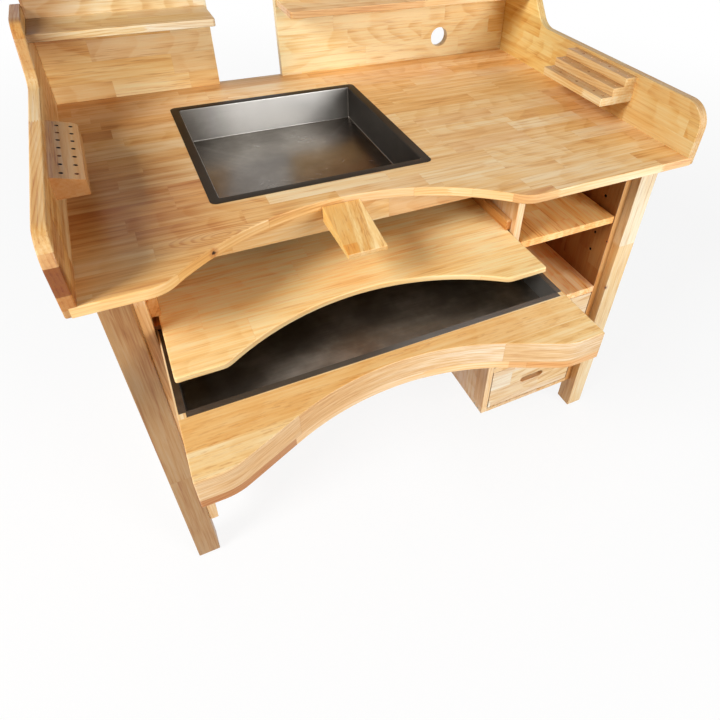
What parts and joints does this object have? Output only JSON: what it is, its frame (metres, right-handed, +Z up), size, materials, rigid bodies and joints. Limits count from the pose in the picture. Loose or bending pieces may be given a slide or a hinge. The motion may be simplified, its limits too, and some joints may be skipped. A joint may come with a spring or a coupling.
{
  "type": "jewelers bench",
  "caption": "Hardwood jewelers bench with a bowed worktop, let-in steel pan, wedge bench pin, pull-out arm board, catch-tray drawer, drawer pedestal and raised back.",
  "frame": {"origin": "centre of the bench's footprint box, drawers as stored, on the floor", "axes": "+X to the worker's right, +Y to the back of the bench, +Z up"},
  "size_m": [1.2, 0.981, 1.065],
  "materials": {
    "hardwood": "satin lacquered finger-jointed staves",
    "pan_steel": "brushed",
    "tray_steel": "dark oiled sheet",
    "screw_steel": "zinc plated",
    "glide": "matte"
  },
  "bodies": {
    "bench": {"worktop": "hardwood", "left_cheek": "hardwood", "right_cheek": "hardwood", "left_back_panel": "hardwood", "right_back_panel": "hardwood", "left_high_shelf": "hardwood", "right_high_shelf": "hardwood", "left_tool_rack": "hardwood", "right_tool_rack_bottom": "hardwood", "right_tool_rack_middle": "hardwood", "right_tool_rack_top": "hardwood", "front_left_leg": "hardwood", "front_right_leg": "hardwood", "rear_left_leg": "hardwood", "rear_right_leg": "hardwood", "left_side_panel": "hardwood", "pedestal_divider": "hardwood", "right_side_panel": "hardwood", "pedestal_back": "hardwood", "rear_upper_rail": "hardwood", "rear_lower_rail": "hardwood", "compartment_floor": "hardwood", "drawer_rail": "hardwood", "pedestal_base": "hardwood", "upper_drawer_left_runner": "hardwood", "upper_drawer_right_runner": "hardwood", "apron_rail": "hardwood", "left_arm_runner": "hardwood", "right_arm_runner": "hardwood", "left_guide_strip": "hardwood", "right_guide_strip": "hardwood", "left_tray_runner": "hardwood", "right_tray_runner": "hardwood", "base_screws": "screw_steel", "shelf_pins": "screw_steel", "foot_glides": "glide"},
    "upper_pan": {"upper_pan": "pan_steel"},
    "bench_pin": {"bench_pin": "hardwood"},
    "arm_board": {"arm_board": "hardwood"},
    "adjustable_shelf": {"adjustable_shelf": "hardwood"},
    "tray_drawer": {"tray_drawer_floor": "hardwood", "tray_drawer_front": "hardwood", "tray_drawer_left_side": "hardwood", "tray_drawer_right_side": "hardwood", "tray_drawer_inner_front": "hardwood", "tray_drawer_back": "hardwood", "catch_tray": "tray_steel"},
    "upper_drawer": {"upper_drawer_front": "hardwood", "upper_drawer_left_side": "hardwood", "upper_drawer_right_side": "hardwood", "upper_drawer_back": "hardwood", "upper_drawer_floor": "hardwood"},
    "lower_drawer": {"lower_drawer_front": "hardwood", "lower_drawer_left_side": "hardwood", "lower_drawer_right_side": "hardwood", "lower_drawer_back": "hardwood", "lower_drawer_floor": "hardwood"}
  },
  "joints": [
    {"name": "arm_board_slide", "type": "slide", "parent": "bench", "child": "arm_board", "axis": [0, -1, 0], "range_m": [-0.055, 0.14]},
    {"name": "tray_drawer_slide", "type": "slide", "parent": "bench", "child": "tray_drawer", "axis": [0, -1, 0], "range_m": [-0.231, 0.12]},
    {"name": "upper_drawer_slide", "type": "slide", "parent": "bench", "child": "upper_drawer", "axis": [0, -1, 0], "range_m": [0, 0.38]},
    {"name": "lower_drawer_slide", "type": "slide", "parent": "bench", "child": "lower_drawer", "axis": [0, -1, 0], "range_m": [0, 0.38]},
    {"name": "bench_pin_pull", "type": "slide", "parent": "bench", "child": "bench_pin", "axis": [0, -1, 0], "range_m": [0, 0.06]},
    {"name": "upper_pan_lift", "type": "slide", "parent": "bench", "child": "upper_pan", "axis": [0, 0, 1], "range_m": [0, 0.15]},
    {"name": "adjustable_shelf_pull", "type": "slide", "parent": "bench", "child": "adjustable_shelf", "axis": [0, -1, 0], "range_m": [0, 0.35]}
  ]
}
